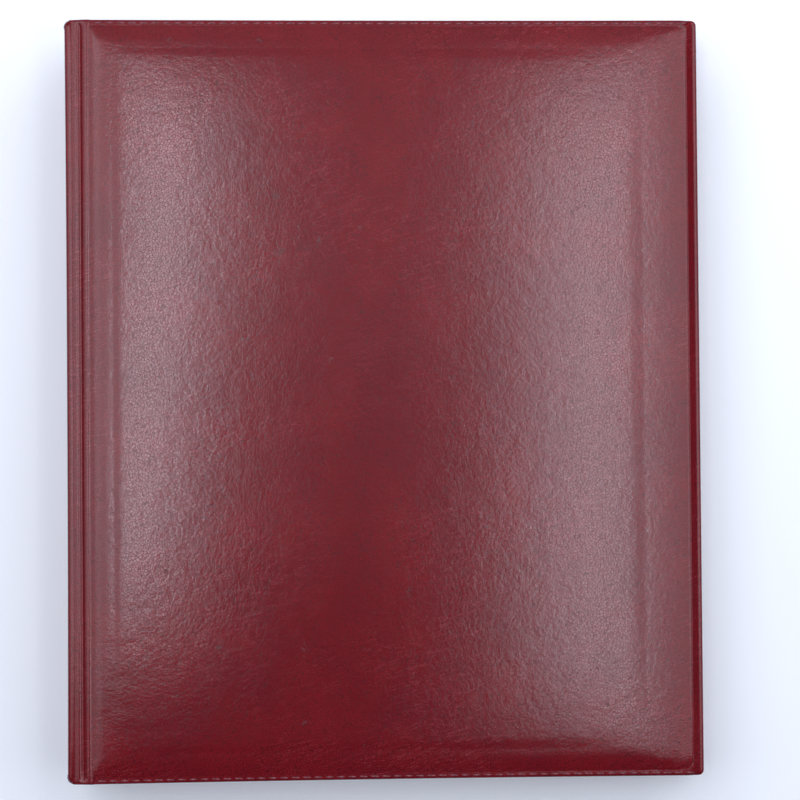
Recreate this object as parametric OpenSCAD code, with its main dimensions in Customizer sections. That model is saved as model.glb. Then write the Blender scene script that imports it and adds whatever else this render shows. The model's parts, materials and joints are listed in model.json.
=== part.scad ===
// Padded ring album for coin leaves, lying closed on its back cover.
// X runs from the spine to the fore edge, Y from tail to head, Z from back cover to front cover.
// The origin is at the middle of the footprint, on the surface the album lies on.

/* [Case] */
// Overall width, from the spine's outer face to the fore edge
album_w = 226; // [200:1:300]
// Overall height, from tail to head
album_h = 270; // [250:1:340]
// Thickness of the greyboard in covers and spine
board_t = 2.4; // [1.6:0.1:3.2]
// Thickness of the leatherette
skin_t = 0.8; // [0.5:0.1:1.2]
// Thickness of the lining glued inside covers and spine
liner_t = 0.6; // [0.3:0.1:0.8]
// Width of the leatherette turned in on the inside of each cover
turn_in = 14; // [8:1:25]
// Radius of a cover's outer corners
corner_r = 2.2; // [1:0.1:4]

/* [Padding] */
// Height of the foam above the board at its shoulder
pad_h = 4; // [2:0.1:7]
// Extra height of the front foam in the middle
pad_crown = 0.8; // [0.2:0.1:2]
// Margin of the foam at the spine side
pad_in_spine = 1.3; // [1.1:0.1:3]
// Margin of the foam at the fore edge
pad_in_fore = 4.6; // [2.5:0.1:8]
// Margin of the foam at head and tail
pad_in_head = 2.4; // [2:0.1:6]
// Width of the foam's rounded shoulder at the spine side
slope_spine = 10; // [4:0.5:20]
// Width of the foam's rounded shoulder at the fore edge
slope_fore = 8; // [4:0.5:20]
// Width of the foam's rounded shoulder at head and tail
slope_head = 5; // [3:0.5:20]
// Height of the rolled edge above the pressed margin
roll_h = 0.35; // [0.1:0.05:0.6]
// Plan radius of the foam's corners at its foot
pad_corner_r = 5; // [3:0.5:10]

/* [Spine and creases] */
// Distance of each crease's axis from the two outer faces that meet there
crease_in = 5; // [4.5:0.1:7]
// Width of the rolled end of the spine, seen from the front cover
spine_roll_w = 4.6; // [4.2:0.1:6]
// Depth of the spine's rolled end below the cover's highest level
spine_drop = 3; // [2:0.1:4]
// Width of the crease strip between spine and cover
strip_w = 3.8; // [3:0.1:6]
// Depth of the two pressed lines in the crease strip
groove_h = 0.45; // [0.2:0.05:0.6]

/* [Ring mechanism] */
// Diameter of a ring on the wire's centre line
ring_d = 21; // [18:0.5:26]
// Diameter of the ring wire
wire_d = 2.6; // [2:0.1:3.2]
// Room between a ring and each cover
ring_room = 3; // [2.8:0.1:5]
// Distance between the two middle rings
ring_gap_mid = 65; // [50:1:90]
// Distance from a middle ring to its outer ring
ring_gap_end = 45; // [30:1:60]
// Length of the arched plate
plate_l = 200; // [180:1:230]
// Width of the arched plate
plate_w = 20.8; // [19.6:0.1:22]
// Sheet thickness of the arched plate
plate_t = 0.8; // [0.6:0.1:1]
// Height of the plate's straight side walls
plate_wall = 3; // [2.9:0.1:4]
// Rise of the plate's arch above its side walls
plate_rise = 2.5; // [2:0.1:4]
// Sheet thickness of the two toggle blades
blade_t = 0.9; // [0.6:0.1:1.2]
// Swing of each ring half when the rings are opened, in degrees
ring_swing = 5; // [3:0.5:5]
// Width of an end lever
lever_w = 9; // [6:0.5:10]
// Sheet thickness of an end lever
lever_t = 1.1; // [0.8:0.1:1.3]
// Reach of a lever's finger tab from its pin
lever_reach = 10; // [6:0.5:10]
// Distance of a lever's pin from the plate's end
lever_in = 3; // [2:0.1:5]
// Diameter of a lever's pin
lever_pin_d = 2.2; // [1.6:0.1:2.4]
// Distance of a rivet from the plate's end
rivet_in = 12; // [10:0.5:20]
// Diameter of a rivet's shank
rivet_d = 4; // [3:0.1:5]
// Diameter of a rivet's head
rivet_head_d = 8; // [6:0.1:9]

/* [Leaves] */
// Width of a leaf
leaf_w = 196; // [150:1:200]
// Height of a leaf
leaf_h = 254; // [200:1:256]
// Thickness of a leaf's backing film
film_t = 0.6; // [0.3:0.1:0.8]
// Height of a pocket's front above the backing film
pocket_t = 0.7; // [0.3:0.1:0.8]
// Thickness of an interleaf
interleaf_t = 0.4; // [0.2:0.1:0.6]
// Gap between neighbouring sheets
sheet_gap = 0.5; // [0.3:0.05:0.6]
// Distance from a leaf's bound edge to the ring wire
hole_in = 7; // [5:0.5:7]
// Length of a punched hole, across the leaf's bound edge
hole_l = 8; // [7.8:0.1:9]
// Width of a punched hole
hole_w = 5.2; // [4.4:0.1:6]
// Pocket columns on a leaf
pocket_cols = 4; // [2:1:6]
// Pocket rows on a leaf
pocket_rows = 5; // [2:1:8]
// Width of the weld between two pockets
weld_w = 3; // [2:0.5:5]
// Width of the leaf's punched margin
margin_w = 19; // [16:1:30]
// Diameter of the thumb notch in a pocket's mouth
thumb_d = 16; // [8:1:20]

/* [Hidden] */
$fn = 48;
leaf_count = 6;

// Colours
leatherette = "#6a141b";
foam = "#d9cfae";
greyboard = "#8d8478";
lining = "#4a1418";
steel = "#c6c8cb";
film = "#d5e3ea";
card = "#f2efe6";

// Levels of a cover, counted from its inner face
board_z = skin_t + board_t;
press_z = board_z + skin_t;
back_t = press_z + pad_h;
front_t = back_t + pad_crown;
eps = 0.01;

// Places in the closed album
spine_x = -album_w / 2;
cover_x = spine_x + spine_roll_w + strip_w;
cover_l = album_w / 2 - cover_x;
ring_r = ring_d / 2;
room_h = ring_d + wire_d + 2 * ring_room;
top_z = back_t + room_h + front_t;
crease_x = spine_x + crease_in;
ring_z = back_t + room_h / 2;
ring_x = crease_x + ring_z - crease_in;

// The leaves lie on the back cover at the fore edge, and the front cover leans down on them
rest_gap = 0.6;
leaf_t = film_t + pocket_t;
leaf_pitch = leaf_t + interleaf_t + 2 * sheet_gap;
stack_h = leaf_count * leaf_pitch - sheet_gap;
leaf_far = ring_r + leaf_w - hole_in;
leaf_droop = atan((room_h / 2 - stack_h / 2 - rest_gap) / leaf_far);
stack_far_z = back_t + stack_h + rest_gap;
front_lean = atan((top_z - front_t - stack_far_z - rest_gap) / (ring_x + leaf_far - crease_x));

// Cover section: insets are given for the spine side, the fore edge, and head and tail
corner_steps = 5;
shoulder_steps = 4;
crown_steps = [0.3, 0.65, 1];
crown_reach = 0.4 * min(cover_l, album_h);
pad_in = [pad_in_spine, pad_in_fore, pad_in_head];
slope = [slope_spine, slope_fore, slope_head];
roll = [for (m = pad_in) min(1.4, 0.6 * (m - skin_t))];
edge_round = 0.5;
crown_corner_r = 18;

function same(a) = [a, a, a];

// One closed line round a cover at a level z, as a rounded rectangle inside the given insets
function outline(inset, r, z) = [
    for (c = [0:3], s = [0:corner_steps])
        let (
            right = c == 0 || c == 3,
            up = c < 2,
            a = 90 * (c + s / corner_steps),
            cx = right ? cover_l - inset[1] - r : inset[0] + r,
            cy = (album_h / 2 - inset[2] - r) * (up ? 1 : -1)
        )
        [cx + r * cos(a), cy + r * sin(a), z]
];

// The foam's shoulder is a quarter ellipse, moved out by the given thickness
function shoulder(t, out) = outline(
    pad_in + slope * (1 - cos(90 * t)) - same(out * cos(90 * t)),
    pad_corner_r + t * pad_corner_r,
    board_z + pad_h * sin(90 * t) + out * sin(90 * t)
);

// The foam rises towards its middle
function crowned(s, out, crown) = outline(
    pad_in + slope + same(crown_reach * s),
    crown_corner_r,
    board_z + pad_h + out + crown * (1 - pow(1 - s, 2))
);

function shoulder_lines(out, first) = [
    for (i = [first:shoulder_steps]) shoulder(i / shoulder_steps, out)
];

function crown_lines(out, crown) = [for (s = crown_steps) crowned(s, out, crown)];

function backwards(list) = [for (i = [len(list) - 1:-1:0]) list[i]];

// Foam: foot, shoulder and crown
function pad_lines(crown) = concat(shoulder_lines(0, 0), crown_lines(0, crown));

// Leatherette: turned in round the board, rolled at the edge, pressed down and drawn over the foam
function skin_lines(crown) = concat(
    backwards(pad_lines(crown)),
    [
        outline(same(skin_t), corner_r - skin_t, board_z),
        outline(same(skin_t), corner_r - skin_t, skin_t),
        outline(same(turn_in), corner_r, skin_t),
        outline(same(turn_in), corner_r, 0),
        outline(same(edge_round), corner_r - edge_round, 0),
        outline(same(0), corner_r, edge_round),
        outline(same(0), corner_r, press_z - edge_round),
        outline(0.3 * roll, corner_r, press_z + 0.7 * roll_h),
        outline(0.6 * roll, corner_r, press_z + roll_h),
        outline(roll, corner_r, press_z),
        outline(pad_in - same(skin_t), pad_corner_r, press_z)
    ],
    shoulder_lines(skin_t, 1),
    crown_lines(skin_t, crown)
);

// Closed solid through a list of lines, flat at its first and last line
module lofted(lines) {
    n = len(lines[0]);
    last = len(lines) - 1;
    points = [for (line = lines) each line];
    sides = [
        for (i = [0:last - 1], j = [0:n - 1])
            let (k = (j + 1) % n)
            each [[i * n + j, i * n + k, (i + 1) * n + k], [i * n + j, (i + 1) * n + k, (i + 1) * n + j]]
    ];
    start = [for (j = [n - 1:-1:0]) j];
    end = [for (j = [0:n - 1]) last * n + j];
    polyhedron(points, [for (f = concat([start], sides, [end])) backwards(f)]);
}

// A flat sheet of a cover between two levels
module cover_sheet(inset, r, z0, z1) {
    translate([0, 0, z0])
        linear_extrude(z1 - z0)
            polygon([for (p = outline(same(inset), r, 0)) [p[0], p[1]]]);
}

// Places for the two covers: the back one is turned over, the front one leans
module at_back() {
    translate([cover_x, 0, back_t])
        mirror([0, 0, 1])
            children();
}

module at_front() {
    translate([crease_x, 0, top_z - crease_in])
        rotate([0, front_lean, 0])
            translate([cover_x - crease_x, 0, crease_in - front_t])
                children();
}

// Covers
module cover_board() {
    color(greyboard)
        cover_sheet(skin_t, corner_r - skin_t, skin_t, board_z);
}

module cover_liner() {
    color(lining)
        cover_sheet(turn_in, corner_r, skin_t - liner_t, skin_t);
}

module cover_pad(crown) {
    color(foam)
        lofted(pad_lines(crown));
}

module cover_skin(crown) {
    color(leatherette)
        lofted(skin_lines(crown));
}

module back_skin() { at_back() cover_skin(0); }
module back_pad() { at_back() cover_pad(0); }
module back_board() { at_back() cover_board(); }
module back_liner() { at_back() cover_liner(); }
module front_skin() { at_front() cover_skin(pad_crown); }
module front_pad() { at_front() cover_pad(pad_crown); }
module front_board() { at_front() cover_board(); }
module front_liner() { at_front() cover_liner(); }

// Spine: a board with leatherette rolled round its long edges
spine_z0 = spine_drop;
spine_z1 = top_z - spine_drop;
spine_round = 1.9;
spine_end_r = 2.5;
spine_end_t = 1.2;
spine_lip = 2.6;
spine_in_x = skin_t + board_t + liner_t;

// A strip along the spine, drawn in X and Z and run from tail to head
module along_spine(length) {
    rotate([90, 0, 0])
        linear_extrude(length, center = true)
            children();
}

module rounded_box_2d(w, h, r) {
    for (x = [r, w - r], y = [r, h - r])
        translate([x, y])
            circle(r);
    translate([r, 0])
        square([w - 2 * r, h]);
    translate([0, r])
        square([w, h - 2 * r]);
}

// Plan of the spine, with its outer corners rounded off at head and tail
module spine_plan() {
    translate([spine_x, -album_h / 2, -eps])
        linear_extrude(top_z)
            union() {
                translate([spine_end_r, 0])
                    square([crease_in * 2, album_h]);
                translate([0, spine_end_r])
                    square([crease_in * 2, album_h - 2 * spine_end_r]);
                for (y = [spine_end_r, album_h - spine_end_r])
                    translate([spine_end_r, y])
                        circle(spine_end_r);
            }
}

// Leatherette of the spine: rolled round the long edges and turned in at head and tail
module spine_skin() {
    inner_h = spine_z1 - spine_z0 - 2 * spine_lip;
    color(leatherette)
        difference() {
            intersection() {
                translate([spine_x, 0, spine_z0])
                    along_spine(album_h)
                        rounded_box_2d(spine_roll_w, spine_z1 - spine_z0, spine_round);
                spine_plan();
            }
            spine_board_box();
            translate([spine_x + 2 * skin_t + board_t, 0, spine_z0 + spine_lip])
                along_spine(2 * album_h)
                    square([spine_roll_w, inner_h]);
            translate([spine_x + skin_t + board_t, 0, spine_z0 + spine_lip])
                along_spine(album_h - 2 * turn_in)
                    square([spine_roll_w, inner_h]);
        }
}

module spine_board_box() {
    translate([spine_x + skin_t, 0, spine_z0 + skin_t])
        along_spine(album_h - 2 * spine_end_t)
            square([board_t, spine_z1 - spine_z0 - 2 * skin_t]);
}

module spine_board() {
    color(greyboard)
        difference() {
            spine_board_box();
            plate_rivets_body(0);
        }
}

module spine_liner() {
    color(lining)
        difference() {
            translate([spine_x + skin_t + board_t, 0, spine_z0 + spine_lip])
                along_spine(album_h - 2 * turn_in)
                    square([liner_t, spine_z1 - spine_z0 - 2 * spine_lip]);
            plate_rivets_body(0);
        }
}

// Crease strips: two pressed lines with a narrow flat between them
crease_l = album_h - 2 * edge_round;
strip_gap = 0.05;
strip_drop = spine_drop + 1.4;

module crease_section() {
    w = strip_w - 2 * strip_gap;
    lines = [0, 0.12, 0.26, 0.74, 0.88, 1];
    drops = [0, 1, 0.2, 0.2, 1, 0.3];
    face = [for (i = [0:len(lines) - 1]) [w * lines[i], -groove_h * drops[i]]];
    polygon(concat(face, [for (p = backwards(face)) [p[0], p[1] - skin_t]]));
}

module front_crease() {
    color(leatherette)
        translate([spine_x + spine_roll_w + strip_gap, 0, top_z - strip_drop])
            along_spine(crease_l)
                crease_section();
}

module back_crease() {
    color(leatherette)
        translate([spine_x + spine_roll_w + strip_gap, 0, strip_drop])
            mirror([0, 0, 1])
                along_spine(crease_l)
                    crease_section();
}

// Ring mechanism, measured from the lining of the spine outwards (X) and from the ring axis (Z)
plate_x = spine_x + spine_in_x;
arch_r = (pow(plate_w / 2, 2) + pow(plate_rise, 2)) / (2 * plate_rise);
arch_x = plate_wall + plate_rise - arch_r;
lip_w = 1;
ring_ys = [for (s = [-1, 1], g = [0, 1]) s * (ring_gap_mid / 2 + (s < 0 ? 1 - g : g) * ring_gap_end)];
leg_in = 3.2;
leg_z = plate_w / 2 - leg_in;
leg_angle = 180 - asin(leg_z / ring_r);
leg_room = 0.8;
leg_hole_d = wire_d + 2 * leg_room;
pin_room = 0.05;
pivot_z = plate_w / 2 - plate_t - blade_t / 2 - pin_room;
pivot_x = 2;
blade_gap = 0.3;
blade_tilt = ring_swing / 2;
lever_y = plate_l / 2 - lever_in;
lever_x = 1.6;
lever_angle = 45;
blade_room = 0.5;
blade_l = 2 * (lever_y - lever_pin_d / 2 - blade_room);
rivet_y = plate_l / 2 - rivet_in;

module at_plate() {
    translate([plate_x, 0, ring_z])
        children();
}

module arch_2d(shrink) {
    w = plate_w / 2 - shrink;
    intersection() {
        translate([0, -w])
            square([plate_wall + plate_rise, 2 * w]);
        union() {
            translate([0, -w])
                square([plate_wall - shrink, 2 * w]);
            translate([arch_x, 0])
                circle(arch_r - shrink, $fn = 96);
        }
    }
}

// Sheet section in X and Z, run along the spine
module plate_run(length) {
    rotate([90, 0, 0])
        linear_extrude(length, center = true)
            children();
}

module ring_plate() {
    color(steel)
        at_plate()
            difference() {
                union() {
                    plate_run(plate_l)
                        difference() {
                            arch_2d(0);
                            arch_2d(plate_t);
                        }
                    for (s = [-1, 1])
                        translate([0, 0, s * (plate_w / 2 - plate_t - lip_w / 2)])
                            cube([2 * plate_t, blade_l, lip_w], center = true);
                }
                translate([-plate_w, -plate_l, -plate_w])
                    cube([plate_w, 2 * plate_l, 2 * plate_w]);
                for (y = ring_ys, s = [-1, 1])
                    translate([0, y, s * leg_z])
                        rotate([0, 90, 0])
                            cylinder(d = leg_hole_d, h = plate_w);
                for (s = [-1, 1])
                    translate([0, s * plate_l / 2, 0])
                        cube([plate_w, 2 * (lever_in - blade_room), lever_w + 2 * blade_room], center = true);
                for (s = [-1, 1])
                    translate([lever_x, s * lever_y, 0])
                        cylinder(d = lever_pin_d + 2 * pin_room, h = 2 * plate_w, center = true);
                for (s = [-1, 1])
                    translate([0, s * rivet_y, 0])
                        rotate([0, 90, 0])
                            cylinder(d = rivet_d, h = plate_w);
            }
}

// Rivets: a flat head sunk in the spine board, a shoulder under the arch and a domed head on top
shoulder_w = 0.8;
shoulder_d = rivet_d + 2 * shoulder_w;
shoulder_room = 0.25;
rivet_room = 1;
sunk_h = 0.9;
dome_h = 1.5;
arch_top = plate_wall + plate_rise;

module plate_rivets_body(dome) {
    head_r = rivet_head_d / 2;
    dome_r = (pow(head_r, 2) + pow(dome_h, 2)) / (2 * dome_h);
    at_plate()
        for (s = [-1, 1])
            translate([0, s * rivet_y, 0])
                rotate([0, 90, 0]) {
                    translate([0, 0, -board_t - liner_t])
                        cylinder(d = rivet_head_d, h = sunk_h);
                    translate([0, 0, -board_t - liner_t])
                        cylinder(d = rivet_d, h = board_t + liner_t + arch_top + eps);
                    cylinder(d = shoulder_d, h = arch_top - plate_t - shoulder_room);
                    if (dome > 0)
                        intersection() {
                            translate([0, 0, arch_top])
                                cylinder(d = rivet_head_d, h = dome_h);
                            translate([0, 0, arch_top + dome_h - dome_r])
                                sphere(dome_r);
                        }
                }
}

module plate_rivets() {
    color(steel)
        plate_rivets_body(1);
}

// Toggle blades: each turns about its outer edge, and their inner edges meet under the arch
module legs_cut(side) {
    for (y = ring_ys)
        translate([-1, y, side * leg_z])
            rotate([0, 90, 0])
                cylinder(d = wire_d, h = ring_z);
}

module blade(side) {
    color(steel)
        at_plate()
            difference() {
                translate([pivot_x, 0, side * pivot_z])
                    rotate([0, side * blade_tilt, 0]) {
                        rotate([90, 0, 0])
                            cylinder(d = blade_t, h = blade_l, center = true);
                        translate([-blade_t / 2, -blade_l / 2, side < 0 ? 0 : blade_gap / 2 - pivot_z])
                            cube([blade_t, blade_l, pivot_z - blade_gap / 2]);
                    }
                legs_cut(side);
                for (s = [-1, 1])
                    translate([0, s * rivet_y, 0])
                        rotate([0, 90, 0])
                            cylinder(d = shoulder_d + 2 * rivet_room, h = plate_w, center = true);
            }
}

module upper_blade() { blade(1); }
module lower_blade() { blade(-1); }

// Ring halves: a bent wire from the blade up to the middle of the ring, where the two tips meet
tip_gap = 0.15;
tip_angle = tip_gap / 2 / ring_r * 180 / PI;
leg_foot = plate_x + pivot_x - blade_t;

module ring_half(side, k) {
    color(steel)
        translate([ring_x, ring_ys[k - 1], ring_z])
            mirror([0, 0, side < 0 ? 1 : 0]) {
                rotate([90, 0, 0])
                    rotate([0, 0, tip_angle])
                        rotate_extrude(angle = leg_angle - tip_angle)
                            translate([ring_r, 0])
                                circle(d = wire_d);
                translate([ring_r * cos(leg_angle), 0, leg_z]) {
                    sphere(d = wire_d);
                    rotate([0, -90, 0])
                        cylinder(d = wire_d, h = ring_x + ring_r * cos(leg_angle) - leg_foot);
                }
            }
}

// End levers: a pin in the plate's walls, a narrow tongue under the blades and a finger tab with a rolled end
tongue_t = 0.75;
tongue_w = 3;
tongue_l = 2.4;
tongue_drop = 1.45;

module lever_tab_2d() {
    rotate(90 - lever_angle) {
        translate([0, -lever_t / 2])
            square([lever_reach, lever_t]);
        translate([lever_reach, lever_t / 2])
            circle(lever_t);
    }
}

module lever_tongue_2d() {
    translate([-tongue_drop, -tongue_l])
        square([tongue_t, tongue_l]);
    translate([-tongue_drop, -lever_t])
        square([tongue_drop, lever_t]);
}

module lever(side) {
    color(steel)
        at_plate()
            mirror([0, side < 0 ? 1 : 0, 0])
                translate([lever_x, lever_y, 0]) {
                    cylinder(d = lever_pin_d, h = plate_w - 4 * pin_room, center = true);
                    linear_extrude(lever_w, center = true)
                        lever_tab_2d();
                    linear_extrude(tongue_w, center = true)
                        lever_tongue_2d();
                }
}

module head_lever() { lever(1); }
module tail_lever() { lever(-1); }

// Leaves: each hangs on the rings and lies down towards the fore edge
hole_shift = 1;

module at_sheet(offset_z) {
    translate([ring_x, 0, ring_z])
        rotate([0, leaf_droop, 0])
            translate([sqrt(pow(ring_r, 2) - pow(offset_z, 2)) - hole_in, 0, offset_z])
                children();
}

module hole_2d() {
    for (s = [-1, 1])
        translate([s * (hole_l - hole_w) / 2, 0])
            circle(d = hole_w);
    square([hole_l - hole_w, hole_w], center = true);
}

module sheet(t) {
    difference() {
        translate([0, -leaf_h / 2, 0])
            cube([leaf_w, leaf_h, t]);
        for (y = ring_ys)
            translate([hole_in + hole_shift, y, -1])
                linear_extrude(t + 2)
                    hole_2d();
    }
}

pocket_w = (leaf_w - margin_w) / pocket_cols - weld_w;
pocket_h = (leaf_h - weld_w) / pocket_rows - weld_w;

module pocket_front() {
    difference() {
        translate([0, 0, -eps])
            cube([pocket_w, pocket_h, pocket_t + eps]);
        translate([pocket_w / 2, pocket_h, -1])
            cylinder(d = thumb_d, h = pocket_t + 2);
    }
}

module coin_leaf(i) {
    color(film)
        at_sheet(stack_h / 2 - (i - 1) * leaf_pitch - leaf_t / 2)
            translate([0, 0, -leaf_t / 2]) {
                sheet(film_t);
                for (c = [0:pocket_cols - 1], r = [0:pocket_rows - 1])
                    translate([
                        margin_w + c * (pocket_w + weld_w),
                        weld_w - leaf_h / 2 + r * (pocket_h + weld_w),
                        film_t
                    ])
                        pocket_front();
            }
}

module interleaf(i) {
    color(card)
        at_sheet(stack_h / 2 - (i - 1) * leaf_pitch - leaf_t - sheet_gap - interleaf_t / 2)
            translate([0, 0, -interleaf_t / 2])
                sheet(interleaf_t);
}

back_skin();
back_pad();
back_board();
back_liner();
back_crease();
spine_skin();
spine_board();
spine_liner();
front_crease();
front_skin();
front_pad();
front_board();
front_liner();
ring_plate();
plate_rivets();
upper_blade();
lower_blade();
head_lever();
tail_lever();
ring_half(1, 1);  // upper_ring_1
ring_half(1, 2);  // upper_ring_2
ring_half(1, 3);  // upper_ring_3
ring_half(1, 4);  // upper_ring_4
ring_half(-1, 1);  // lower_ring_1
ring_half(-1, 2);  // lower_ring_2
ring_half(-1, 3);  // lower_ring_3
ring_half(-1, 4);  // lower_ring_4
coin_leaf(1);  // coin_leaf_1
coin_leaf(2);  // coin_leaf_2
coin_leaf(3);  // coin_leaf_3
coin_leaf(4);  // coin_leaf_4
coin_leaf(5);  // coin_leaf_5
coin_leaf(6);  // coin_leaf_6
interleaf(1);  // interleaf_1
interleaf(2);  // interleaf_2
interleaf(3);  // interleaf_3
interleaf(4);  // interleaf_4
interleaf(5);  // interleaf_5
interleaf(6);  // interleaf_6
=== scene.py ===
import json
import math

import bpy
import numpy as np
from mathutils import Euler, Matrix, Vector


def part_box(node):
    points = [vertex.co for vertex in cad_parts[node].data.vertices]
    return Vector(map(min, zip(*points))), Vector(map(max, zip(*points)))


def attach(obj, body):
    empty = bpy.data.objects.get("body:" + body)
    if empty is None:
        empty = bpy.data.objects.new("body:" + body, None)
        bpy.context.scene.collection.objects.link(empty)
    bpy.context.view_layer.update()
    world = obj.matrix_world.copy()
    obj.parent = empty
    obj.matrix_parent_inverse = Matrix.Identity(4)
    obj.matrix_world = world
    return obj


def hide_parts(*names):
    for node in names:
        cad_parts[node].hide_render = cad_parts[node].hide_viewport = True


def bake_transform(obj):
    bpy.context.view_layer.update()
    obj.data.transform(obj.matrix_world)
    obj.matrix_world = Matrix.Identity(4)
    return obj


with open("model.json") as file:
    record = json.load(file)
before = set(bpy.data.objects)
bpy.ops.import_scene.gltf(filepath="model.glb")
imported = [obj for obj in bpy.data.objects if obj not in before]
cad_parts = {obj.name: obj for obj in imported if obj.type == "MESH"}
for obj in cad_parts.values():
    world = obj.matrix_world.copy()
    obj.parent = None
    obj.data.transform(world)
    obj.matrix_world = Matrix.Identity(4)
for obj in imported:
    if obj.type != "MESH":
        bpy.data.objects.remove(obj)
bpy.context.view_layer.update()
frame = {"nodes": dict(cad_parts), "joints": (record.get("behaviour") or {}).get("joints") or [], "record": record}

MM = 0.001
nodes = frame["nodes"]
joints = {joint["name"]: joint for joint in frame["joints"]}

# Places and main sizes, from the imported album
back_low, back_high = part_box("back_skin")
spine_low, spine_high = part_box("spine_skin")
cover_x = back_low.x
cover_w = back_high.x - back_low.x
cover_h = back_high.y - back_low.y
back_t = back_high.z - back_low.z
back_axis = Vector(joints["spine_turn"]["pos_m"])
front_axis = Vector(joints["front_cover_turn"]["pos_m"])
crease_in = back_axis.z
front_lean = math.radians(joints["front_cover_turn"]["range_deg"][1] - 90)

# Leatherette and what it is wrapped round
skin_t = 0.8 * MM
pad_crown = 0.8 * MM
front_t = back_t + pad_crown
turn_in = 14 * MM
turned_edge = 0.9 * MM
head_pull = 0.2 * MM
tail_pull = 0.35 * MM


def sweep(start, finish, even, power=2.6, steps=12):
    """Points of a soft slope between two points of a section, steepest at its start.

    even is the share of the rise that is even, so that the slope runs on into the foam's crown.
    """
    points = []
    for step in range(steps + 1):
        t = step / steps
        part = (1 - even) * (1 - (1 - t) ** power) + even * t
        inset = start[0] + (finish[0] - start[0]) * t
        level = start[1] + (finish[1] - start[1]) * part
        points.append((inset, level))
    return points


# Sections of a wrapped cover at its spine side, fore edge, and head and tail, as inset and level in mm:
# edge wall, low rim, stitched margin or short fall, and the soft shoulder of the foam
cover_sections = [
    [(0.2, 0.2), (0.0, 0.7), (0.0, 3.0), (0.0, 5.6), (0.15, 6.15), (0.4, 6.4),
     *sweep((0.6, 6.45), (9.0, 8.0), 0.18)],
    [(0.2, 0.2), (0.0, 0.7), (0.0, 3.0), (0.0, 3.9), (0.15, 4.35), (0.4, 4.62), (0.8, 4.75),
     (1.2, 4.8), (1.5, 4.84), (1.9, 5.05), (2.8, 5.65), (3.8, 6.3), (4.6, 6.75), (5.2, 6.95),
     *sweep((5.6, 7.02), (21.0, 8.0), 0.5)],
    [(0.2, 0.2), (0.0, 0.7), (0.0, 3.0), (0.0, 5.5), (0.15, 6.05), (0.4, 6.3), (0.8, 6.37),
     (1.5, 6.39), (2.2, 6.42), *sweep((2.3, 6.43), (10.5, 8.0), 0.22)],
]
margin_z = 6.38 * MM

# Levels in mm: where the corners start to widen, where the foam starts, and up to where the cloth is held
corner_foot = 4.5
foam_foot = 6.4
held_z = 7.05

# The share of the sections' rise that the foam takes: the back leaves room to swell, down to the table
front_foam_share = 0.5
back_foam_share = 0.875

# Corner radii in mm at the spine side and the fore edge
edge_corner_r = np.array([0.6, 1.8])
plateau_corner_r = np.array([3.0, 6.0])

# Steps of the covers' meshes
arc_steps = 3
straight_x = 44
straight_y = 56

# Cloth on the pads
cloth_frames = 20
cloth_pressure = 4.0
cloth_cap = 0.2 * MM

# Stitching along head and tail
stitch_pitch = 4.0 * MM
stitch_l = 3.5 * MM
stitch_w = 0.5 * MM
stitch_h = 0.45 * MM
stitch_in = 1.25 * MM
stitch_spine_gap = 2.0 * MM
stitch_fore_gap = 3.0 * MM
stitch_dip = 0.2 * MM
stitch_slant = math.radians(2.5)

# Spine: the long soft curve of its ends, the rounding of its edges, its turned-in lip, and how far and from
# which share of its half width its edges draw in
spine_end_r = 2.3 * MM
spine_end_share = 0.7
spine_edge_r = 1.5 * MM
spine_lip = 2.0 * MM
spine_lip_drop = 0.6 * MM
spine_recess = 0.75 * MM
spine_end_draw = 0.3 * MM
spine_middle_draw = 0.7 * MM
spine_draw_from = 0.6
spine_draw_fade = 0.3
spine_cuts = 15

# Section of a crease strip, in mm from the hinge axis: across the album, outwards, and outwards at the ends
strip_section = [
    (-2.9, 1.6, 1.6), (-2.25, 1.98, 1.98), (-1.7, 2.12, 2.12), (-1.1, 2.24, 2.2), (-0.67, 2.27, 2.2),
    (-0.2, 2.2, 2.18), (0.4, 1.9, 2.14), (0.75, 1.5, 2.1), (1.0, 1.36, 2.08), (1.25, 1.5, 2.06),
    (1.6, 1.82, 2.04), (2.2, 2.0, 2.0), (2.85, 2.05, 1.97), (3.4, 1.97, 1.93), (3.8, 1.85, 1.85),
    (4.2, 1.75, 1.75), (4.9, 1.3, 1.3),
]
strip_t = 0.8 * skin_t
strip_crest = -0.67
strip_lift_w = 4.0
front_edge_lift = 0.8
back_edge_lift = 1.6

# Rows of a crease strip from its ends inwards, and where its ends turn down and its section fades in, in mm
strip_end_rows = [0.0, 0.15, 0.4, 0.8, 1.2, 1.6, 2.0, 2.6, 3.4]
strip_even_rows = 60
strip_end_r = 0.8
strip_end_flat = 1.0
strip_end_fade = 1.8


def linear(text):
    """A colour written as an sRGB hex value, as the linear RGBA that a shader takes."""
    parts = [int(text[i:i + 2], 16) / 255 for i in (1, 3, 5)]
    curved = [p / 12.92 if p <= 0.04045 else ((p + 0.055) / 1.055) ** 2.4 for p in parts]
    return (*curved, 1.0)


def add(tree, kind, inputs=None, stops=None, **settings):
    """Adds a node with its settings, values and links, and with its colour stops where it has them."""
    node = tree.nodes.new(kind)
    for number, (at, colour) in enumerate(stops or []):
        elements = node.color_ramp.elements
        element = elements[number] if number < len(elements) else elements.new(at)
        element.position = at
        element.color = linear(colour)
    for name, value in settings.items():
        setattr(node, name, value)
    for socket, value in (inputs or {}).items():
        if isinstance(value, bpy.types.NodeSocket):
            tree.links.new(value, node.inputs[socket])
        else:
            node.inputs[socket].default_value = value
    return node


def new_material(name):
    """An empty material with its tree, its shader and the object's own coordinates."""
    material = bpy.data.materials.new(name)
    material.use_nodes = True
    tree = material.node_tree
    shader = tree.nodes["Principled BSDF"]
    place = add(tree, "ShaderNodeTexCoord").outputs["Object"]
    return material, tree, shader, place


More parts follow.
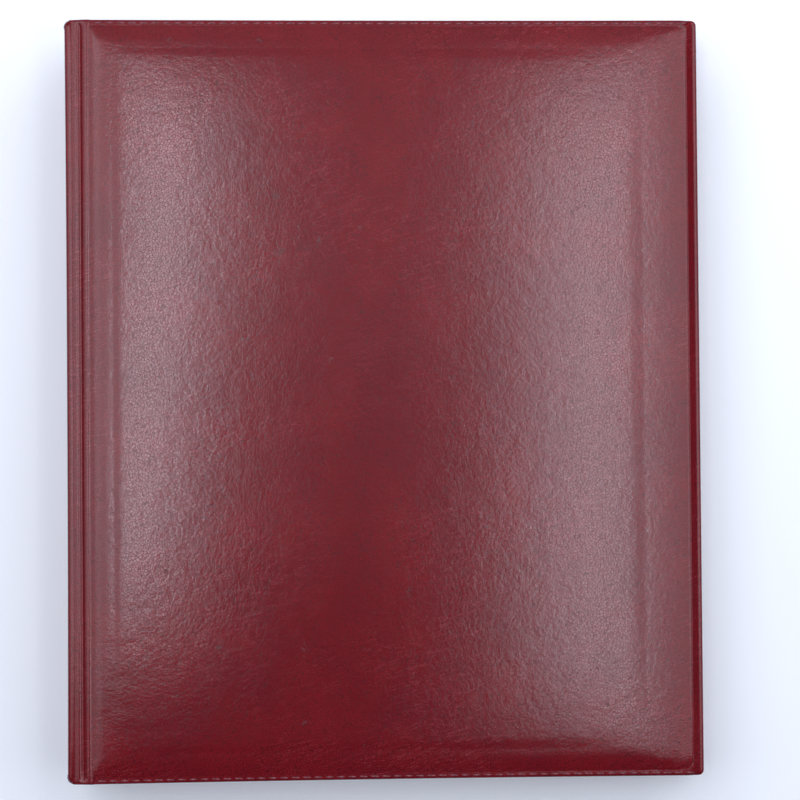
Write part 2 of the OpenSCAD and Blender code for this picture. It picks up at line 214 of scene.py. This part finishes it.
def per(size_mm):
    """Pattern scale, per metre, for one feature of the given size."""
    return 1 / (size_mm * MM)


def leatherette():
    """Embossed leatherette, antiqued oxblood: a fine pebble that breaks up the gloss, a darker colour in its
    furrows, faint paler creases on the slant, and a few dull dark scuffs."""
    material, tree, shader, place = new_material("oxblood_leatherette")
    cloud = add(tree, "ShaderNodeTexNoise", {
        "Vector": place, "Scale": per(26), "Detail": 6.0, "Roughness": 0.6})
    tone = add(tree, "ShaderNodeValToRGB", {"Fac": cloud.outputs["Fac"]},
               [(0.3, "#6e0f18"), (0.5, "#761118"), (0.7, "#80151b")])

    slant = add(tree, "ShaderNodeMapping", {
        "Vector": place, "Rotation": (0, 0, math.radians(17)), "Scale": (9 * MM, 1.1 * MM, 9 * MM)},
        vector_type="TEXTURE")
    crease = add(tree, "ShaderNodeTexNoise", {
        "Vector": slant.outputs["Vector"], "Scale": 1.0, "Detail": 3.0, "Distortion": 0.6})
    crease_line = add(tree, "ShaderNodeValToRGB", {"Fac": crease.outputs["Fac"]},
                      [(0.47, "#000000"), (0.5, "#ffffff"), (0.53, "#000000")])
    patch = add(tree, "ShaderNodeTexNoise", {"Vector": place, "Scale": per(40), "Detail": 3.0})
    patch_part = add(tree, "ShaderNodeValToRGB", {"Fac": patch.outputs["Fac"]},
                     [(0.4, "#000000"), (0.62, "#d8d8d8")])
    crease_part = add(tree, "ShaderNodeMath", {
        0: crease_line.outputs["Color"], 1: patch_part.outputs["Color"]}, operation="MULTIPLY")
    creased = add(tree, "ShaderNodeMix", {
        "Factor": crease_part.outputs["Value"], 6: tone.outputs["Color"], 7: linear("#9a3b42")},
        data_type="RGBA")

    pebble = add(tree, "ShaderNodeTexVoronoi", {"Vector": place, "Scale": per(0.95)},
                 feature="DISTANCE_TO_EDGE")
    furrow = add(tree, "ShaderNodeMapRange", {
        "Value": pebble.outputs["Distance"], "From Min": 0.0, "From Max": 0.12, "To Min": 1.0, "To Max": 0.0})
    # The base colour is darker in the pebble's furrows, with the same mask that sinks them in the bump
    furrow_darkened = add(tree, "ShaderNodeMix", {
        "Factor": furrow.outputs["Result"], 6: creased.outputs[2], 7: linear("#520a0f")},
        data_type="RGBA")

    scuff = add(tree, "ShaderNodeTexNoise", {
        "Vector": place, "Scale": per(9), "Detail": 5.0, "Roughness": 0.7})
    scuff_part = add(tree, "ShaderNodeMapRange", {
        "Value": scuff.outputs["Fac"], "From Min": 0.66, "From Max": 0.74, "To Min": 0.0, "To Max": 0.7})
    scuffed = add(tree, "ShaderNodeMix", {
        "Factor": scuff_part.outputs["Result"], 6: furrow_darkened.outputs[2], 7: linear("#3f0a0e")},
        data_type="RGBA")
    tree.links.new(scuffed.outputs[2], shader.inputs["Base Color"])

    fine = add(tree, "ShaderNodeTexNoise", {"Vector": place, "Scale": per(1.3), "Detail": 3.0})
    satin = add(tree, "ShaderNodeMapRange", {
        "Value": fine.outputs["Fac"], "From Min": 0.3, "From Max": 0.7, "To Min": 0.085, "To Max": 0.11})
    furrow_dull = add(tree, "ShaderNodeMath", {
        0: furrow.outputs["Result"], 1: 0.12, 2: satin.outputs["Result"]}, operation="MULTIPLY_ADD")
    dull = add(tree, "ShaderNodeMath", {
        0: scuff_part.outputs["Result"], 1: 0.45, 2: furrow_dull.outputs["Value"]}, operation="MULTIPLY_ADD")
    tree.links.new(dull.outputs["Value"], shader.inputs["Roughness"])

    waves = add(tree, "ShaderNodeTexNoise", {"Vector": place, "Scale": per(5), "Detail": 2.0})
    wave_bump = add(tree, "ShaderNodeBump", {
        "Height": waves.outputs["Fac"], "Strength": 1.0, "Distance": 0.05 * MM})
    fine_bump = add(tree, "ShaderNodeBump", {
        "Height": fine.outputs["Fac"], "Strength": 1.0, "Distance": 0.034 * MM,
        "Normal": wave_bump.outputs["Normal"]})
    furrow_bump = add(tree, "ShaderNodeBump", {
        "Height": furrow.outputs["Result"], "Strength": 1.0, "Distance": -0.005 * MM,
        "Normal": fine_bump.outputs["Normal"]})
    tree.links.new(furrow_bump.outputs["Normal"], shader.inputs["Normal"])
    shader.inputs["IOR"].default_value = 1.5
    return material


def thread():
    """Twisted polyester thread, dusty pink against the leatherette: a soft sheen and a fine slanted twist; the
    twist's grooves are painted darker as shade and its ridges lighter as a highlight.
    """
    material, tree, shader, place = new_material("polyester_thread")
    turned = add(tree, "ShaderNodeMapping", {"Vector": place, "Rotation": (0, 0, math.radians(35))})
    twist = add(tree, "ShaderNodeTexWave", {
        "Vector": turned.outputs["Vector"], "Scale": per(0.9) / math.tau, "Distortion": 0.6},
        bands_direction="X")
    # Painted shade and highlight: the twist's grooves darker and its ridges lighter, following its bump
    colour = add(tree, "ShaderNodeValToRGB", {"Fac": twist.outputs["Fac"]},
                 [(0.0, "#66242d"), (1.0, "#8f4e57")])
    tree.links.new(colour.outputs["Color"], shader.inputs["Base Color"])
    bump = add(tree, "ShaderNodeBump", {
        "Height": twist.outputs["Fac"], "Strength": 0.6, "Distance": 0.1 * MM})
    tree.links.new(bump.outputs["Normal"], shader.inputs["Normal"])
    shader.inputs["Roughness"].default_value = 0.55
    shader.inputs["Sheen Weight"].default_value = 0.3
    return material


def lining_paper():
    """Uncoated lining paper, dyed burgundy: matt, with short pale fibres and a slight cloudiness."""
    material, tree, shader, place = new_material("lining_paper")
    cloud = add(tree, "ShaderNodeTexNoise", {"Vector": place, "Scale": per(14), "Detail": 5.0})
    fibre_place = add(tree, "ShaderNodeMapping", {
        "Vector": place, "Scale": (per(0.5), per(3.5), per(0.5))})
    fibre = add(tree, "ShaderNodeTexNoise", {
        "Vector": fibre_place.outputs["Vector"], "Scale": 1.0, "Detail": 2.0})
    base = add(tree, "ShaderNodeValToRGB", {"Fac": cloud.outputs["Fac"]},
               [(0.3, "#451217"), (0.7, "#56191f")])
    fibres = add(tree, "ShaderNodeValToRGB", {"Fac": fibre.outputs["Fac"]},
                 [(0.62, "#000000"), (0.75, "#707070")])
    colour = add(tree, "ShaderNodeMix", {
        "Factor": fibres.outputs["Color"], 6: base.outputs["Color"], 7: linear("#7b3338")},
        data_type="RGBA")
    tree.links.new(colour.outputs[2], shader.inputs["Base Color"])
    bump = add(tree, "ShaderNodeBump", {
        "Height": fibre.outputs["Fac"], "Strength": 0.3, "Distance": 0.05 * MM})
    tree.links.new(bump.outputs["Normal"], shader.inputs["Normal"])
    shader.inputs["Roughness"].default_value = 0.82
    return material


def greyboard():
    """Grey binder's board, pressed from waste paper: dull grey with darker and paler flecks."""
    material, tree, shader, place = new_material("greyboard")
    fleck = add(tree, "ShaderNodeTexNoise", {
        "Vector": place, "Scale": per(1.2), "Detail": 4.0, "Roughness": 0.7})
    colour = add(tree, "ShaderNodeValToRGB", {"Fac": fleck.outputs["Fac"]},
                 [(0.3, "#6f685d"), (0.5, "#8d8478"), (0.72, "#a49c90")])
    tree.links.new(colour.outputs["Color"], shader.inputs["Base Color"])
    bump = add(tree, "ShaderNodeBump", {
        "Height": fleck.outputs["Fac"], "Strength": 0.4, "Distance": 0.1 * MM})
    tree.links.new(bump.outputs["Normal"], shader.inputs["Normal"])
    shader.inputs["Roughness"].default_value = 0.9
    return material


def foam():
    """Open-cell polyurethane foam sheet: cream and matt, with small pores painted darker as shade in their
    hollows.
    """
    material, tree, shader, place = new_material("polyurethane_foam")
    cell = add(tree, "ShaderNodeTexVoronoi", {"Vector": place, "Scale": per(0.9)}, feature="F1")
    # Painted shade: the pores' hollows are darker, following the bump
    colour = add(tree, "ShaderNodeValToRGB", {"Fac": cell.outputs["Distance"]},
                 [(0.1, "#b7ab86"), (0.5, "#d9cfae")])
    tree.links.new(colour.outputs["Color"], shader.inputs["Base Color"])
    bump = add(tree, "ShaderNodeBump", {
        "Height": cell.outputs["Distance"], "Strength": 0.5, "Distance": 0.2 * MM})
    tree.links.new(bump.outputs["Normal"], shader.inputs["Normal"])
    shader.inputs["Roughness"].default_value = 0.95
    return material


def nickel_steel():
    """Nickel-plated spring steel, drawn and tumbled: bright, slightly warm, with fine lines along it."""
    material, tree, shader, place = new_material("nickel_plated_steel")
    drawn = add(tree, "ShaderNodeMapping", {"Vector": place, "Scale": (per(0.4), per(14), per(0.4))})
    line = add(tree, "ShaderNodeTexNoise", {
        "Vector": drawn.outputs["Vector"], "Scale": 1.0, "Detail": 3.0})
    colour = add(tree, "ShaderNodeValToRGB", {"Fac": line.outputs["Fac"]},
                 [(0.3, "#b9b5ac"), (0.7, "#d6d3cb")])
    rough = add(tree, "ShaderNodeMapRange", {
        "Value": line.outputs["Fac"], "From Min": 0.3, "From Max": 0.7, "To Min": 0.18, "To Max": 0.3})
    tree.links.new(colour.outputs["Color"], shader.inputs["Base Color"])
    tree.links.new(rough.outputs["Result"], shader.inputs["Roughness"])
    shader.inputs["Metallic"].default_value = 1.0
    return material


def pocket_film():
    """Clear plasticised PVC film, welded: see-through with a faint cool cast, softly rippled and glossy."""
    material, tree, shader, place = new_material("clear_pvc_film")
    ripple = add(tree, "ShaderNodeTexNoise", {"Vector": place, "Scale": per(30), "Detail": 1.0})
    bump = add(tree, "ShaderNodeBump", {
        "Height": ripple.outputs["Fac"], "Strength": 0.25, "Distance": 1.0 * MM})
    tree.links.new(bump.outputs["Normal"], shader.inputs["Normal"])
    colour = add(tree, "ShaderNodeValToRGB", {"Fac": ripple.outputs["Fac"]},
                 [(0.3, "#e3eef2"), (0.7, "#f2f8fa")])
    tree.links.new(colour.outputs["Color"], shader.inputs["Base Color"])
    shader.inputs["Roughness"].default_value = 0.1
    shader.inputs["IOR"].default_value = 1.53
    shader.inputs["Transmission Weight"].default_value = 0.9
    return material


def interleaf_card():
    """Smooth white card: matt, barely warm, with a faint fibre."""
    material, tree, shader, place = new_material("white_card")
    fibre = add(tree, "ShaderNodeTexNoise", {
        "Vector": place, "Scale": per(1.6), "Detail": 5.0, "Roughness": 0.65})
    colour = add(tree, "ShaderNodeValToRGB", {"Fac": fibre.outputs["Fac"]},
                 [(0.3, "#e6e1d5"), (0.7, "#f4f1e8")])
    tree.links.new(colour.outputs["Color"], shader.inputs["Base Color"])
    bump = add(tree, "ShaderNodeBump", {
        "Height": fibre.outputs["Fac"], "Strength": 0.2, "Distance": 0.05 * MM})
    tree.links.new(bump.outputs["Normal"], shader.inputs["Normal"])
    shader.inputs["Roughness"].default_value = 0.75
    return material


materials = {
    "leatherette": leatherette(),
    "lining": lining_paper(),
    "greyboard": greyboard(),
    "foam": foam(),
    "nickel_steel": nickel_steel(),
    "pocket_film": pocket_film(),
    "interleaf_card": interleaf_card(),
}
thread_material = thread()


def only(piece):
    """Makes one piece the only one selected, and the active one."""
    bpy.ops.object.select_all(action="DESELECT")
    piece.select_set(True)
    bpy.context.view_layer.objects.active = piece


def apply_modifier(piece, kind, **settings):
    """Adds a modifier with its settings and applies it."""
    only(piece)
    modifier = piece.modifiers.new(kind.lower(), kind)
    for name, value in settings.items():
        setattr(modifier, name, value)
    bpy.ops.object.modifier_apply(modifier=modifier.name)


def finish_piece(piece, material, body, angle=40):
    """Gives a finished piece its material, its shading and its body."""
    piece.data.materials.clear()
    piece.data.materials.append(material)
    only(piece)
    bpy.ops.object.shade_smooth_by_angle(angle=math.radians(angle))
    if body:
        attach(piece, body)


def choose(piece, kind, test):
    """Selects the edges or faces of a piece whose corners pass a test, and stays in edit mode."""
    bpy.ops.object.mode_set(mode="EDIT")
    bpy.ops.mesh.select_mode(type=kind)
    bpy.ops.mesh.select_all(action="DESELECT")
    bpy.ops.object.mode_set(mode="OBJECT")
    vertices = piece.data.vertices
    for part in piece.data.edges if kind == "EDGE" else piece.data.polygons:
        part.select = test([vertices[i].co for i in part.vertices])
    bpy.ops.object.mode_set(mode="EDIT")


def loop_line(inset, radii, z):
    """A rounded outline of a cover at a level z, as a closed line that starts at its lower left corner.
    inset is given for spine side, fore edge, and head and tail; radii for spine side and fore edge."""
    left, right = inset[0] + radii[0], cover_w - inset[1] - radii[1]
    end = cover_h / 2 - inset[2]
    corners = [
        (left, radii[0] - end, radii[0], 225), (right, radii[1] - end, radii[1], 315),
        (right, end - radii[1], radii[1], 45), (left, end - radii[0], radii[0], 135),
    ]

    def arc(corner, first, last):
        x, y, radius, middle = corner
        turns = [math.radians(middle + first + (last - first) * i / arc_steps) for i in range(arc_steps + 1)]
        return [np.array([x + radius * math.cos(a), y + radius * math.sin(a), z]) for a in turns]

    line = []
    for side in range(4):
        start = arc(corners[side], 0, 45)
        finish = arc(corners[(side + 1) % 4], -45, 0)
        steps = (straight_x, straight_y)[side % 2]
        straight = [start[-1] + (finish[0] - start[-1]) * i / steps for i in range(steps)]
        line += [*start[:-1], *straight, *finish[:-1]]
    return line


def coons(loop, across, along):
    """A grid of points inside a closed line of four sides, with the line as its border."""
    bottom = loop[:across + 1]
    right = loop[across:across + along + 1]
    top = loop[across + along:2 * across + along + 1][::-1]
    left = [*loop[2 * across + along:], loop[0]][::-1]
    grid = {}
    for i in range(across + 1):
        for j in range(along + 1):
            u, v = i / across, j / along
            edge = (1 - v) * bottom[i] + v * top[i] + (1 - u) * left[j] + u * right[j]
            corner = ((1 - u) * (1 - v) * bottom[0] + u * (1 - v) * bottom[-1]
                      + (1 - u) * v * top[0] + u * v * top[-1])
            grid[i, j] = edge - corner
    return grid


def drawn_in(x, y):
    """How far the head or the tail of a cover draws in between its corners, at x from its spine side."""
    return (head_pull if y > 0 else tail_pull) * (1 - (2 * x / cover_w - 1) ** 2)


def wrapped_cover(name, loops, place, crown):
    """Leatherette wrapped round a cover, lofted through closed lines and closed over the foam's crown.
    place is the matrix from the cover's own frame to the album's."""
    count = len(loops[0])
    across, along = straight_x + 2 * arc_steps, straight_y + 2 * arc_steps
    points = [p for loop in loops for p in loop]
    faces = [
        (r * count + i, r * count + (i + 1) % count, (r + 1) * count + (i + 1) % count, (r + 1) * count + i)
        for r in range(len(loops) - 1) for i in range(count)
    ]
    last = (len(loops) - 1) * count
    border = ([(i, 0) for i in range(across)] + [(across, j) for j in range(along)]
              + [(i, along) for i in range(across, 0, -1)] + [(0, j) for j in range(along, 0, -1)])
    index = {at: last + k for k, at in enumerate(border)}
    for at, point in coons(loops[-1], across, along).items():
        if at not in index:
            index[at] = len(points)
            u, v = 2 * at[0] / across - 1, 2 * at[1] / along - 1
            points.append(point + np.array([0, 0, crown * (1 - u ** 2) * (1 - v ** 4)]))
    faces += [
        (index[i, j], index[i + 1, j], index[i + 1, j + 1], index[i, j + 1])
        for i in range(across) for j in range(along)
    ]
    shaped = [(x, y * (1 - 2 * drawn_in(x, y) / cover_h), z) for x, y, z in points]
    mesh = bpy.data.meshes.new(name)
    mesh.from_pydata(shaped, [], faces)
    piece = bpy.data.objects.new(name, mesh)
    bpy.context.scene.collection.objects.link(piece)
    piece.data.transform(place)
    only(piece)
    bpy.ops.object.mode_set(mode="EDIT")
    bpy.ops.mesh.select_all(action="SELECT")
    bpy.ops.mesh.normals_make_consistent(inside=False)
    bpy.ops.object.mode_set(mode="OBJECT")
    return piece


def swell(piece, first_free):
    """Lets the leatherette over the foam swell as cloth, held along its pressed margin, by a cap at most."""
    before = np.array([v.co for v in piece.data.vertices])
    held = piece.vertex_groups.new(name="held")
    held.add(list(range(first_free)), 1.0, "REPLACE")
    cloth = piece.modifiers.new("cloth", "CLOTH")
    cloth.settings.quality = 6
    cloth.settings.mass = 0.35
    cloth.settings.tension_stiffness = 40
    cloth.settings.compression_stiffness = 40
    cloth.settings.shear_stiffness = 20
    cloth.settings.bending_stiffness = 8
    cloth.settings.vertex_group_mass = "held"
    cloth.settings.use_pressure = True
    cloth.settings.uniform_pressure_force = cloth_pressure
    cloth.settings.effector_weights.gravity = 0
    cloth.collision_settings.use_collision = False
    scene = bpy.context.scene
    for number in range(1, cloth_frames + 1):
        scene.frame_set(number)
    only(piece)
    bpy.ops.object.modifier_apply(modifier=cloth.name)
    scene.frame_set(1)
    moved = np.array([v.co for v in piece.data.vertices]) - before
    share = min(1.0, cloth_cap / max(np.linalg.norm(moved, axis=1).max(), 1e-9))
    swollen = before + share * moved
    piece.data.vertices.foreach_set("co", swollen.astype(np.float32).ravel())
    piece.data.update()


def cover_loops(foam_share):
    """Outlines of a wrapped cover, from its turned-in edge round to the top of the foam.

    The foam rises over its foot by a share of the sections' rise. The second result is how many are held.
    """
    levels = sorted({round(z, 3) for section in cover_sections for inset, z in section})
    turned = (turn_in, turn_in / 2, turned_edge)
    loops = [loop_line([inset] * 3, edge_corner_r * MM, 0.0) for inset in turned]
    for level in levels:
        inset = [np.interp(level, [z for i, z in section], [i for i, z in section]) * MM
                 for section in cover_sections]
        part = max(0.0, (level - corner_foot) / (levels[-1] - corner_foot))
        radii = edge_corner_r + (plateau_corner_r - edge_corner_r) * part
        height = min(level, foam_foot) + foam_share * max(0.0, level - foam_foot)
        loops.append(loop_line(inset, radii * MM, height * MM))
    return loops, len(turned) + sum(level < held_z for level in levels)


front_place = (Matrix.Translation(front_axis) @ Matrix.Rotation(front_lean, 4, "Y")
               @ Matrix.Translation((cover_x - front_axis.x, 0, crease_in - front_t)))
back_place = Matrix.Translation((cover_x, 0, back_t)) @ Matrix.Scale(-1, 4, (0, 0, 1))


def cover_leather(name, crown, foam_share, place, body, replaced):
    """The leatherette of a cover, padded by the foam under it."""
    loops, held = cover_loops(foam_share)
    piece = wrapped_cover(name, loops, place, crown)
    swell(piece, held * len(loops[0]))
    apply_modifier(piece, "SUBSURF", levels=1, render_levels=1)
    apply_modifier(piece, "SOLIDIFY", thickness=skin_t, offset=-1.0)
    finish_piece(piece, materials["leatherette"], body)
    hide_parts(*replaced)


cover_leather("front_leather", pad_crown, front_foam_share, front_place,
              "front_cover", ["front_skin", "front_pad"])
cover_leather("back_leather", 0.0, back_foam_share, back_place,
              "back_cover", ["back_skin", "back_pad"])


def spine_leather():
    """The leatherette of the spine, wrapped round its board and turned in, with soft curves at its ends."""
    depth = spine_high.x - spine_low.x
    width = spine_high.z - spine_low.z
    middle = (spine_low + spine_high) / 2
    bpy.ops.object.select_all(action="DESELECT")
    bpy.ops.mesh.primitive_cube_add(size=1)
    piece = bpy.context.active_object
    piece.name = "spine_leather"
    bpy.ops.object.mode_set(mode="EDIT")
    bpy.ops.transform.resize(value=(spine_end_share * depth, cover_h, width), center_override=(0, 0, 0))
    choose(piece, "EDGE", lambda c: max(p.x for p in c) < 0 and abs(c[0].z - c[1].z) > 0.5 * width)
    bpy.ops.mesh.bevel(offset=spine_end_r, segments=6, affect="EDGES")
    bpy.ops.mesh.select_all(action="SELECT")
    bpy.ops.transform.resize(value=(1 / spine_end_share, 1, 1), center_override=(0, 0, 0))

    choose(piece, "FACE", lambda c: min(p.x for p in c) > 0.45 * depth)
    bpy.ops.mesh.inset(thickness=spine_lip)
    bpy.ops.transform.translate(value=(-spine_lip_drop, 0, 0))
    for end in (-1, 1):
        choose(piece, "FACE", lambda c: all(abs(p.z) < width / 2 - 0.9 * spine_lip for p in c))
        bpy.ops.mesh.bisect(plane_co=(0, end * (cover_h / 2 - turn_in), 0), plane_no=(0, 1, 0))
    choose(piece, "FACE", lambda c: all(
        abs(p.z) < width / 2 - 0.9 * spine_lip and abs(p.y) < cover_h / 2 - 0.9 * turn_in for p in c))
    bpy.ops.mesh.extrude_region_move(TRANSFORM_OT_translate={"value": (-spine_recess, 0, 0)})

    choose(piece, "EDGE", lambda c: all(abs(abs(p.z) - width / 2) < 0.01 * MM for p in c))
    bpy.ops.mesh.bevel(offset=spine_edge_r, segments=4, affect="EDGES")
    for number in range(1, spine_cuts + 1):
        bpy.ops.mesh.select_all(action="SELECT")
        cut = cover_h * (number / (spine_cuts + 1) - 0.5)
        bpy.ops.mesh.bisect(plane_co=(0, cut, 0), plane_no=(0, 1, 0))
    bpy.ops.object.mode_set(mode="OBJECT")
    for vertex in piece.data.vertices:
        outer = 0.5 - vertex.co.x / depth
        from_middle = abs(vertex.co.z) / (width / 2)
        edge = min(1.0, max(0.0, (from_middle - spine_draw_from) / spine_draw_fade))
        bow = 1 - (2 * vertex.co.y / cover_h) ** 2
        vertex.co.x += outer * edge * (spine_end_draw + (spine_middle_draw - spine_end_draw) * bow)
    piece.data.transform(Matrix.Translation(middle))
    finish_piece(piece, materials["leatherette"], "spine")
    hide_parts("spine_skin")


spine_leather()


def crease_leather(name, node, axis, out, lift):
    """A crease strip from the spine to a cover: a crest on the spine, a pressed line and a narrow flat.
    lift is how much further out the cover's edge lies, in mm."""
    half = cover_h / 2 / MM
    inner = half - strip_end_rows[-1]
    even = [inner * (2 * k / strip_even_rows - 1) for k in range(1, strip_even_rows)]
    rows = [e - half for e in strip_end_rows] + even + [half - e for e in strip_end_rows[::-1]]
    bpy.ops.object.select_all(action="DESELECT")
    columns, lines = len(strip_section) - 1, len(rows) - 1
    bpy.ops.mesh.primitive_grid_add(x_subdivisions=columns, y_subdivisions=lines, size=1)
    piece = bpy.context.active_object
    piece.name = name
    for vertex in piece.data.vertices:
        across, middle_rise, end_rise = strip_section[round((vertex.co.x + 0.5) * columns)]
        y = rows[round((vertex.co.y + 0.5) * lines)]
        from_end = half - abs(y)
        share = min(1.0, max(0.0, (from_end - strip_end_flat) / strip_end_fade))
        in_curve = max(0.0, strip_end_r - from_end)
        round_off = strip_end_r - math.sqrt(max(0.0, strip_end_r ** 2 - in_curve ** 2))
        lifted = lift * min(1.0, max(0.0, (across - strip_crest) / strip_lift_w))
        rise = end_rise + (middle_rise - end_rise) * share - round_off + lifted
        vertex.co = (axis.x + across * MM, y * MM, axis.z + out * rise * MM)
    if out < 0:
        bpy.ops.object.mode_set(mode="EDIT")
        bpy.ops.mesh.select_all(action="SELECT")
        bpy.ops.mesh.flip_normals()
        bpy.ops.object.mode_set(mode="OBJECT")
    apply_modifier(piece, "SUBSURF", levels=1, render_levels=1)
    apply_modifier(piece, "SOLIDIFY", thickness=strip_t, offset=-1.0)
    finish_piece(piece, materials["leatherette"], None)
    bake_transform(piece)
    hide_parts(node)


crease_leather("front_crease_leather", "front_crease", front_axis, 1, front_edge_lift)
crease_leather("back_crease_leather", "back_crease", back_axis, -1, back_edge_lift)


def stitch_row(name, place, end, level, up):
    """One row of stitches along the head or the tail of a cover, on its face or on its inner side."""
    number = int((cover_w - stitch_spine_gap - stitch_fore_gap) / stitch_pitch)
    bpy.ops.object.select_all(action="DESELECT")
    bpy.ops.mesh.primitive_uv_sphere_add(segments=8, ring_count=8, radius=0.5, rotation=(0, math.pi / 2, 0))
    row = bpy.context.active_object
    row.name = name
    bpy.ops.object.transform_apply(location=False, rotation=True, scale=False)
    size = Matrix.Diagonal((stitch_l, stitch_w, stitch_h, 1))
    row.data.transform(Matrix.Rotation(end * stitch_slant, 4, "Z") @ size)
    apply_modifier(row, "ARRAY", count=number, use_relative_offset=False, use_constant_offset=True,
                   constant_offset_displace=(stitch_pitch, 0, 0))
    for vertex in row.data.vertices:
        along = (vertex.co.x + stitch_pitch / 2) % stitch_pitch - stitch_pitch / 2
        dip = stitch_dip * (2 * along / stitch_l) ** 2
        x = stitch_spine_gap + stitch_pitch / 2 + vertex.co.x
        y = end * (cover_h / 2 - stitch_in - drawn_in(x, end)) + vertex.co.y
        vertex.co = (x, y, level + up * (vertex.co.z - dip))
    row.data.transform(place)
    only(row)
    bpy.ops.object.mode_set(mode="EDIT")
    bpy.ops.mesh.select_all(action="SELECT")
    bpy.ops.mesh.normals_make_consistent(inside=False)
    bpy.ops.object.mode_set(mode="OBJECT")
    return row


for cover, place in (("front", front_place), ("back", back_place)):
    for end_name, end in (("head", 1), ("tail", -1)):
        for side, level, up in (("outer", margin_z, 1), ("inner", 0.0, -1)):
            row = stitch_row(f"{cover}_{end_name}_{side}_stitches", place, end, level, up)
            finish_piece(row, thread_material, f"{cover}_cover")

# Finishes of the pieces that keep their solid form
slots = {part["node"]: part["material_slot"] for part in frame["record"]["subparts"]}
for name, node in nodes.items():
    node.data.materials.clear()
    node.data.materials.append(materials[slots[name]])

# Floor, light and camera: away from the album the floor turns into a white backdrop, for the eye, metal and
# film
lamp_step = 0.02
floor_w = 60
bpy.ops.object.select_all(action="DESELECT")
bpy.ops.mesh.primitive_plane_add(size=floor_w)
floor = bpy.context.active_object
floor.name = "floor"
floor_material, floor_tree, floor_shader, floor_place = new_material("matt_white_card")
floor_shader.inputs["Base Color"].default_value = linear("#f3f6fa")
floor_shader.inputs["Roughness"].default_value = 0.9
light_path = add(floor_tree, "ShaderNodeLightPath")
seen = light_path.outputs["Is Camera Ray"]
for ray in ("Is Glossy Ray", "Is Transmission Ray"):
    either = add(floor_tree, "ShaderNodeMath", {0: seen, 1: light_path.outputs[ray]}, operation="MAXIMUM")
    seen = either.outputs["Value"]
distance = add(floor_tree, "ShaderNodeVectorMath", {0: floor_place}, operation="LENGTH")
backdrop = add(floor_tree, "ShaderNodeMapRange", {
    "Value": distance.outputs["Value"], "From Min": 0.3, "From Max": 1.6, "To Min": 0.15, "To Max": 0.95})
lift = add(floor_tree, "ShaderNodeMath", {0: seen, 1: backdrop.outputs["Result"]}, operation="MULTIPLY")
floor_tree.links.new(lift.outputs["Value"], floor_shader.inputs["Emission Strength"])
floor_shader.inputs["Emission Color"].default_value = linear("#f6faff")
floor.data.materials.append(floor_material)

world = bpy.data.worlds.new("studio")
world.use_nodes = True
world.node_tree.nodes["Background"].inputs["Color"].default_value = linear("#c4cfff")
world.node_tree.nodes["Background"].inputs["Strength"].default_value = 0.1
bpy.context.scene.world = world


def soft_lamp(name, at, aim, size, radiance, mirrored=True, turn=0.0):
    """A soft lamp at a place, aimed at a place and turned by an angle, that gloss mirrors or not."""
    data = bpy.data.lights.new(name, "AREA")
    data.shape = "RECTANGLE"
    data.size, data.size_y = size
    data.energy = math.pi * size[0] * size[1] * radiance
    data.color = linear("#f0f4ff")[:3]
    lamp = bpy.data.objects.new(name, data)
    lamp.location = at
    down = (Vector(aim) - Vector(at)).normalized()
    across = Vector((0, 1, 0)).cross(-down).normalized()
    facing = Matrix((across, -down.cross(across), -down)).transposed()
    lamp.rotation_euler = (facing @ Matrix.Rotation(turn, 3, "Z")).to_euler()
    lamp.visible_glossy = mirrored
    bpy.context.scene.collection.objects.link(lamp)


def soft_band(name, at, layers, turn=0.0):
    """A long lamp overhead that fades towards its edges: lamps one in the other, each a step higher, because
    lamps in one plane hide each other. Each layer is a width, a length and a radiance."""
    for number, (width, length, radiance) in enumerate(layers):
        place = (at[0], at[1], at[2] + lamp_step * number)
        soft_lamp(f"{name}_{number}", place, (at[0], at[1], 0), (width, length), radiance, turn=turn)


# Two long bands overhead give the two soft bands of gloss, panels beside them model the edges, and one lamp
# fills in
soft_band("left_band", (-0.12, 0.075, 1.05), [
    (0.03, 0.38, 2.9), (0.055, 0.44, 2.9), (0.09, 0.5, 2.2), (0.14, 0.54, 1.1), (0.2, 0.6, 0.6)],
    math.radians(-7))
soft_band("right_band", (0.31, 0.02, 1.05), [
    (0.06, 0.48, 2.1), (0.1, 0.56, 1.9), (0.14, 0.66, 1.6), (0.19, 0.7, 0.8), (0.25, 0.76, 0.4)])
soft_band("head_band", (0.1, 0.45, 1.1), [(1.1, 0.8, 0.2), (1.1, 1.1, 0.2)])
soft_lamp("left_near", (-0.32, 0.08, 1.04), (0, 0, 0), (0.26, 0.6), 1.7)
soft_lamp("left_panel", (-0.55, 0.1, 1.0), (0, 0, 0), (0.5, 0.9), 1.0)
soft_lamp("left_side", (-0.95, 0.3, 0.95), (0, 0, 0), (0.9, 1.1), 1.0)
soft_lamp("right_panel", (0.6, 0.1, 1.02), (0, 0, 0), (0.45, 0.9), 1.4)
soft_lamp("right_side", (1.05, 0.25, 0.95), (0, 0, 0), (0.9, 1.1), 0.95)
soft_lamp("head_fill", (0.05, 0.56, 0.55), (0, 0.1, 0), (1.0, 0.4), 2.8, mirrored=False)

camera_data = bpy.data.cameras.new("camera")
camera_data.lens = 100
camera_data.sensor_width = 36
camera = bpy.data.objects.new("camera", camera_data)
camera.location = Vector((13.8, -17.1, 825.5)) * MM
camera.rotation_euler = Euler([math.radians(a) for a in (1.2, 0.63, -0.46)], "XYZ")
bpy.context.scene.collection.objects.link(camera)
bpy.context.scene.camera = camera
bpy.context.scene.view_settings.view_transform = "Standard"
